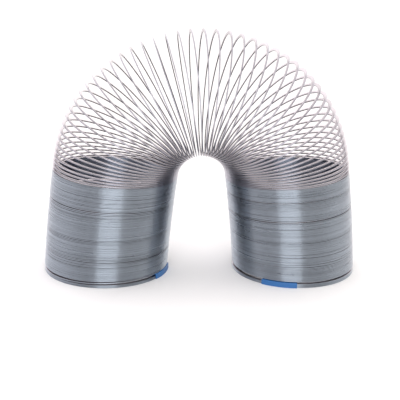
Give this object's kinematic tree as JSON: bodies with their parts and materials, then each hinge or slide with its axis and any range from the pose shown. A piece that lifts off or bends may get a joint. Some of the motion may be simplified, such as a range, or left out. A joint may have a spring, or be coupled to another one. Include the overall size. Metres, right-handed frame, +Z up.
{
  "type": "coil spring toy",
  "caption": "Walking coil spring toy of one flat steel wire, standing as an open arch on two closed legs with blue plastic end sleeves.",
  "frame": {"origin": "on the table midway between the two feet, at the centre of the bounding box's bottom", "axes": "+Z up through the crown of the arch, +X from the left foot to the right foot, +Y from front to back"},
  "size_m": [0.1902, 0.0756, 0.146],
  "materials": {
    "wire": "satin rolled",
    "sleeve": "satin moulded"
  },
  "bodies": {
    "turn_01": {"arch_turn_01": "wire"},
    "turn_02": {"arch_turn_02": "wire"},
    "turn_03": {"arch_turn_03": "wire"},
    "turn_04": {"arch_turn_04": "wire"},
    "turn_05": {"arch_turn_05": "wire"},
    "turn_06": {"arch_turn_06": "wire"},
    "turn_07": {"arch_turn_07": "wire"},
    "turn_08": {"arch_turn_08": "wire"},
    "turn_09": {"arch_turn_09": "wire"},
    "turn_10": {"arch_turn_10": "wire"},
    "turn_11": {"arch_turn_11": "wire"},
    "turn_12": {"arch_turn_12": "wire"},
    "turn_13": {"arch_turn_13": "wire"},
    "turn_14": {"arch_turn_14": "wire"},
    "turn_15": {"arch_turn_15": "wire"},
    "turn_16": {"arch_turn_16": "wire"},
    "turn_17": {"arch_turn_17": "wire"},
    "turn_18": {"arch_turn_18": "wire"},
    "turn_19": {"arch_turn_19": "wire"},
    "turn_20": {"arch_turn_20": "wire"},
    "turn_21": {"arch_turn_21": "wire"},
    "turn_22": {"arch_turn_22": "wire"},
    "turn_23": {"arch_turn_23": "wire"},
    "turn_24": {"arch_turn_24": "wire"},
    "turn_25": {"arch_turn_25": "wire"},
    "turn_26": {"arch_turn_26": "wire"},
    "turn_27": {"arch_turn_27": "wire"},
    "turn_28": {"arch_turn_28": "wire"},
    "turn_29": {"arch_turn_29": "wire"},
    "turn_30": {"arch_turn_30": "wire"},
    "turn_31": {"arch_turn_31": "wire"},
    "turn_32": {"arch_turn_32": "wire"},
    "turn_33": {"arch_turn_33": "wire"},
    "turn_34": {"arch_turn_34": "wire"},
    "turn_35": {"arch_turn_35": "wire"},
    "turn_36": {"arch_turn_36": "wire"},
    "turn_37": {"arch_turn_37": "wire"},
    "turn_38": {"arch_turn_38": "wire"},
    "turn_39": {"arch_turn_39": "wire"},
    "turn_40": {"arch_turn_40": "wire"},
    "turn_41": {"arch_turn_41": "wire"},
    "turn_42": {"arch_turn_42": "wire"},
    "turn_43": {"arch_turn_43": "wire"},
    "turn_44": {"arch_turn_44": "wire"},
    "turn_45": {"arch_turn_45": "wire"},
    "turn_46": {"arch_turn_46": "wire"},
    "turn_47": {"arch_turn_47": "wire"},
    "turn_48": {"arch_turn_48": "wire"},
    "turn_49": {"arch_turn_49": "wire"},
    "left_leg": {"left_stack": "wire"},
    "right_leg": {"right_stack": "wire"},
    "left_foot": {"left_foot_turns": "wire", "left_end_sleeve": "sleeve"},
    "right_foot": {"right_foot_turns": "wire", "right_end_sleeve": "sleeve"}
  },
  "joints": [
    {"name": "right_upper_bend", "type": "hinge", "parent": "turn_25", "child": "turn_26", "pos_m": [0.00071, 0, 0.07215], "axis": [0, -1, 0], "range_deg": [-0.29, 4.62]},
    {"name": "right_bend_02", "type": "hinge", "parent": "turn_26", "child": "turn_27", "pos_m": [0.00211, 0, 0.07203], "axis": [0, -1, 0], "range_deg": [-0.29, 4.6]},
    {"name": "right_bend_03", "type": "hinge", "parent": "turn_27", "child": "turn_28", "pos_m": [0.00348, 0, 0.07179], "axis": [0, -1, 0], "range_deg": [-0.29, 4.58]},
    {"name": "right_bend_04", "type": "hinge", "parent": "turn_28", "child": "turn_29", "pos_m": [0.0048, 0, 0.07145], "axis": [0, -1, 0], "range_deg": [-0.29, 4.53]},
    {"name": "right_bend_05", "type": "hinge", "parent": "turn_29", "child": "turn_30", "pos_m": [0.00606, 0, 0.07101], "axis": [0, -1, 0], "range_deg": [-0.28, 4.48]},
    {"name": "right_bend_06", "type": "hinge", "parent": "turn_30", "child": "turn_31", "pos_m": [0.00725, 0, 0.07048], "axis": [0, -1, 0], "range_deg": [-0.28, 4.41]},
    {"name": "right_bend_07", "type": "hinge", "parent": "turn_31", "child": "turn_32", "pos_m": [0.00835, 0, 0.06988], "axis": [0, -1, 0], "range_deg": [-0.27, 4.33]},
    {"name": "right_bend_08", "type": "hinge", "parent": "turn_32", "child": "turn_33", "pos_m": [0.00936, 0, 0.06922], "axis": [0, -1, 0], "range_deg": [-0.27, 4.23]},
    {"name": "right_bend_09", "type": "hinge", "parent": "turn_33", "child": "turn_34", "pos_m": [0.01027, 0, 0.06852], "axis": [0, -1, 0], "range_deg": [-0.26, 4.12]},
    {"name": "right_bend_10", "type": "hinge", "parent": "turn_34", "child": "turn_35", "pos_m": [0.01108, 0, 0.06778], "axis": [0, -1, 0], "range_deg": [-0.25, 4]},
    {"name": "right_bend_11", "type": "hinge", "parent": "turn_35", "child": "turn_36", "pos_m": [0.0118, 0, 0.06704], "axis": [0, -1, 0], "range_deg": [-0.24, 3.87]},
    {"name": "right_bend_12", "type": "hinge", "parent": "turn_36", "child": "turn_37", "pos_m": [0.01242, 0, 0.06628], "axis": [0, -1, 0], "range_deg": [-0.24, 3.72]},
    {"name": "right_bend_13", "type": "hinge", "parent": "turn_37", "child": "turn_38", "pos_m": [0.01296, 0, 0.06554], "axis": [0, -1, 0], "range_deg": [-0.23, 3.56]},
    {"name": "right_lower_bend", "type": "hinge", "parent": "turn_38", "child": "turn_39", "pos_m": [0.01342, 0, 0.0648], "axis": [0, -1, 0], "range_deg": [-0.21, 3.39]},
    {"name": "right_bend_15", "type": "hinge", "parent": "turn_39", "child": "turn_40", "pos_m": [0.01382, 0, 0.06408], "axis": [0, -1, 0], "range_deg": [-0.2, 3.22]},
    {"name": "right_bend_16", "type": "hinge", "parent": "turn_40", "child": "turn_41", "pos_m": [0.01415, 0, 0.06337], "axis": [0, -1, 0], "range_deg": [-0.19, 3.03]},
    {"name": "right_bend_17", "type": "hinge", "parent": "turn_41", "child": "turn_42", "pos_m": [0.01442, 0, 0.06269], "axis": [0, -1, 0], "range_deg": [-0.18, 2.83]},
    {"name": "right_bend_18", "type": "hinge", "parent": "turn_42", "child": "turn_43", "pos_m": [0.01465, 0, 0.06202], "axis": [0, -1, 0], "range_deg": [-0.17, 2.63]},
    {"name": "right_bend_19", "type": "hinge", "parent": "turn_43", "child": "turn_44", "pos_m": [0.01484, 0, 0.06137], "axis": [0, -1, 0], "range_deg": [-0.15, 2.41]},
    {"name": "right_bend_20", "type": "hinge", "parent": "turn_44", "child": "turn_45", "pos_m": [0.01499, 0, 0.06074], "axis": [0, -1, 0], "range_deg": [-0.14, 2.19]},
    {"name": "right_bend_21", "type": "hinge", "parent": "turn_45", "child": "turn_46", "pos_m": [0.01512, 0, 0.06011], "axis": [0, -1, 0], "range_deg": [-0.12, 1.96]},
    {"name": "right_bend_22", "type": "hinge", "parent": "turn_46", "child": "turn_47", "pos_m": [0.01522, 0, 0.05949], "axis": [0, -1, 0], "range_deg": [-0.11, 1.73]},
    {"name": "right_bend_23", "type": "hinge", "parent": "turn_47", "child": "turn_48", "pos_m": [0.0153, 0, 0.05887], "axis": [0, -1, 0], "range_deg": [-0.09, 1.49]},
    {"name": "right_bend_24", "type": "hinge", "parent": "turn_48", "child": "turn_49", "pos_m": [0.01536, 0, 0.05825], "axis": [0, -1, 0], "range_deg": [-0.08, 1.25]},
    {"name": "right_bend_25", "type": "hinge", "parent": "turn_49", "child": "right_leg", "pos_m": [0.01541, 0, 0.05763], "axis": [0, -1, 0], "range_deg": [-0.0351, 0.5532]},
    {"name": "left_upper_bend", "type": "hinge", "parent": "turn_25", "child": "turn_24", "pos_m": [-0.00071, 0, 0.07215], "axis": [0, 1, 0], "range_deg": [-0.29, 4.62]},
    {"name": "left_bend_02", "type": "hinge", "parent": "turn_24", "child": "turn_23", "pos_m": [-0.00211, 0, 0.07203], "axis": [0, 1, 0], "range_deg": [-0.29, 4.6]},
    {"name": "left_bend_03", "type": "hinge", "parent": "turn_23", "child": "turn_22", "pos_m": [-0.00348, 0, 0.07179], "axis": [0, 1, 0], "range_deg": [-0.29, 4.58]},
    {"name": "left_bend_04", "type": "hinge", "parent": "turn_22", "child": "turn_21", "pos_m": [-0.0048, 0, 0.07145], "axis": [0, 1, 0], "range_deg": [-0.29, 4.53]},
    {"name": "left_bend_05", "type": "hinge", "parent": "turn_21", "child": "turn_20", "pos_m": [-0.00606, 0, 0.07101], "axis": [0, 1, 0], "range_deg": [-0.28, 4.48]},
    {"name": "left_bend_06", "type": "hinge", "parent": "turn_20", "child": "turn_19", "pos_m": [-0.00725, 0, 0.07048], "axis": [0, 1, 0], "range_deg": [-0.28, 4.41]},
    {"name": "left_bend_07", "type": "hinge", "parent": "turn_19", "child": "turn_18", "pos_m": [-0.00835, 0, 0.06988], "axis": [0, 1, 0], "range_deg": [-0.27, 4.33]},
    {"name": "left_bend_08", "type": "hinge", "parent": "turn_18", "child": "turn_17", "pos_m": [-0.00936, 0, 0.06922], "axis": [0, 1, 0], "range_deg": [-0.27, 4.23]},
    {"name": "left_bend_09", "type": "hinge", "parent": "turn_17", "child": "turn_16", "pos_m": [-0.01027, 0, 0.06852], "axis": [0, 1, 0], "range_deg": [-0.26, 4.12]},
    {"name": "left_bend_10", "type": "hinge", "parent": "turn_16", "child": "turn_15", "pos_m": [-0.01108, 0, 0.06778], "axis": [0, 1, 0], "range_deg": [-0.25, 4]},
    {"name": "left_bend_11", "type": "hinge", "parent": "turn_15", "child": "turn_14", "pos_m": [-0.0118, 0, 0.06704], "axis": [0, 1, 0], "range_deg": [-0.24, 3.87]},
    {"name": "left_bend_12", "type": "hinge", "parent": "turn_14", "child": "turn_13", "pos_m": [-0.01242, 0, 0.06628], "axis": [0, 1, 0], "range_deg": [-0.24, 3.72]},
    {"name": "left_bend_13", "type": "hinge", "parent": "turn_13", "child": "turn_12", "pos_m": [-0.01296, 0, 0.06554], "axis": [0, 1, 0], "range_deg": [-0.23, 3.56]},
    {"name": "left_lower_bend", "type": "hinge", "parent": "turn_12", "child": "turn_11", "pos_m": [-0.01342, 0, 0.0648], "axis": [0, 1, 0], "range_deg": [-0.21, 3.39]},
    {"name": "left_bend_15", "type": "hinge", "parent": "turn_11", "child": "turn_10", "pos_m": [-0.01382, 0, 0.06408], "axis": [0, 1, 0], "range_deg": [-0.2, 3.22]},
    {"name": "left_bend_16", "type": "hinge", "parent": "turn_10", "child": "turn_09", "pos_m": [-0.01415, 0, 0.06337], "axis": [0, 1, 0], "range_deg": [-0.19, 3.03]},
    {"name": "left_bend_17", "type": "hinge", "parent": "turn_09", "child": "turn_08", "pos_m": [-0.01442, 0, 0.06269], "axis": [0, 1, 0], "range_deg": [-0.18, 2.83]},
    {"name": "left_bend_18", "type": "hinge", "parent": "turn_08", "child": "turn_07", "pos_m": [-0.01465, 0, 0.06202], "axis": [0, 1, 0], "range_deg": [-0.17, 2.63]},
    {"name": "left_bend_19", "type": "hinge", "parent": "turn_07", "child": "turn_06", "pos_m": [-0.01484, 0, 0.06137], "axis": [0, 1, 0], "range_deg": [-0.15, 2.41]},
    {"name": "left_bend_20", "type": "hinge", "parent": "turn_06", "child": "turn_05", "pos_m": [-0.01499, 0, 0.06074], "axis": [0, 1, 0], "range_deg": [-0.14, 2.19]},
    {"name": "left_bend_21", "type": "hinge", "parent": "turn_05", "child": "turn_04", "pos_m": [-0.01512, 0, 0.06011], "axis": [0, 1, 0], "range_deg": [-0.12, 1.96]},
    {"name": "left_bend_22", "type": "hinge", "parent": "turn_04", "child": "turn_03", "pos_m": [-0.01522, 0, 0.05949], "axis": [0, 1, 0], "range_deg": [-0.11, 1.73]},
    {"name": "left_bend_23", "type": "hinge", "parent": "turn_03", "child": "turn_02", "pos_m": [-0.0153, 0, 0.05887], "axis": [0, 1, 0], "range_deg": [-0.09, 1.49]},
    {"name": "left_bend_24", "type": "hinge", "parent": "turn_02", "child": "turn_01", "pos_m": [-0.01536, 0, 0.05825], "axis": [0, 1, 0], "range_deg": [-0.08, 1.25]},
    {"name": "left_bend_25", "type": "hinge", "parent": "turn_01", "child": "left_leg", "pos_m": [-0.01541, 0, 0.05763], "axis": [0, 1, 0], "range_deg": [-0.0351, 0.5532]},
    {"name": "right_leg_stretch", "type": "slide", "parent": "right_leg", "child": "right_foot", "axis": [0, 0, -1], "range_m": [0, 0.1], "deforming": ["right_stack"]},
    {"name": "left_leg_stretch", "type": "slide", "parent": "left_leg", "child": "left_foot", "axis": [0, 0, -1], "range_m": [0, 0.1], "deforming": ["left_stack"]}
  ],
  "couplings": [
    {"joint": "right_bend_02", "follows": "right_upper_bend", "ratio": 0.99695},
    {"joint": "right_bend_03", "follows": "right_upper_bend", "ratio": 0.99087},
    {"joint": "right_bend_04", "follows": "right_upper_bend", "ratio": 0.98176},
    {"joint": "right_bend_05", "follows": "right_upper_bend", "ratio": 0.96967},
    {"joint": "right_bend_06", "follows": "right_upper_bend", "ratio": 0.95461},
    {"joint": "right_bend_07", "follows": "right_upper_bend", "ratio": 0.93665},
    {"joint": "right_bend_08", "follows": "right_upper_bend", "ratio": 0.91584},
    {"joint": "right_bend_09", "follows": "right_upper_bend", "ratio": 0.89223},
    {"joint": "right_bend_10", "follows": "right_upper_bend", "ratio": 0.86591},
    {"joint": "right_bend_11", "follows": "right_upper_bend", "ratio": 0.83695},
    {"joint": "right_bend_12", "follows": "right_upper_bend", "ratio": 0.80543},
    {"joint": "right_bend_13", "follows": "right_upper_bend", "ratio": 0.77147},
    {"joint": "right_bend_15", "follows": "right_lower_bend", "ratio": 0.94755},
    {"joint": "right_bend_16", "follows": "right_lower_bend", "ratio": 0.89221},
    {"joint": "right_bend_17", "follows": "right_lower_bend", "ratio": 0.83415},
    {"joint": "right_bend_18", "follows": "right_lower_bend", "ratio": 0.77355},
    {"joint": "right_bend_19", "follows": "right_lower_bend", "ratio": 0.7106},
    {"joint": "right_bend_20", "follows": "right_lower_bend", "ratio": 0.64548},
    {"joint": "right_bend_21", "follows": "right_lower_bend", "ratio": 0.57839},
    {"joint": "right_bend_22", "follows": "right_lower_bend", "ratio": 0.50954},
    {"joint": "right_bend_23", "follows": "right_lower_bend", "ratio": 0.43913},
    {"joint": "right_bend_24", "follows": "right_lower_bend", "ratio": 0.36739},
    {"joint": "right_bend_25", "follows": "right_lower_bend", "ratio": 0.1629},
    {"joint": "left_bend_02", "follows": "left_upper_bend", "ratio": 0.99695},
    {"joint": "left_bend_03", "follows": "left_upper_bend", "ratio": 0.99087},
    {"joint": "left_bend_04", "follows": "left_upper_bend", "ratio": 0.98176},
    {"joint": "left_bend_05", "follows": "left_upper_bend", "ratio": 0.96967},
    {"joint": "left_bend_06", "follows": "left_upper_bend", "ratio": 0.95461},
    {"joint": "left_bend_07", "follows": "left_upper_bend", "ratio": 0.93665},
    {"joint": "left_bend_08", "follows": "left_upper_bend", "ratio": 0.91584},
    {"joint": "left_bend_09", "follows": "left_upper_bend", "ratio": 0.89223},
    {"joint": "left_bend_10", "follows": "left_upper_bend", "ratio": 0.86591},
    {"joint": "left_bend_11", "follows": "left_upper_bend", "ratio": 0.83695},
    {"joint": "left_bend_12", "follows": "left_upper_bend", "ratio": 0.80543},
    {"joint": "left_bend_13", "follows": "left_upper_bend", "ratio": 0.77147},
    {"joint": "left_bend_15", "follows": "left_lower_bend", "ratio": 0.94755},
    {"joint": "left_bend_16", "follows": "left_lower_bend", "ratio": 0.89221},
    {"joint": "left_bend_17", "follows": "left_lower_bend", "ratio": 0.83415},
    {"joint": "left_bend_18", "follows": "left_lower_bend", "ratio": 0.77355},
    {"joint": "left_bend_19", "follows": "left_lower_bend", "ratio": 0.7106},
    {"joint": "left_bend_20", "follows": "left_lower_bend", "ratio": 0.64548},
    {"joint": "left_bend_21", "follows": "left_lower_bend", "ratio": 0.57839},
    {"joint": "left_bend_22", "follows": "left_lower_bend", "ratio": 0.50954},
    {"joint": "left_bend_23", "follows": "left_lower_bend", "ratio": 0.43913},
    {"joint": "left_bend_24", "follows": "left_lower_bend", "ratio": 0.36739},
    {"joint": "left_bend_25", "follows": "left_lower_bend", "ratio": 0.1629}
  ]
}
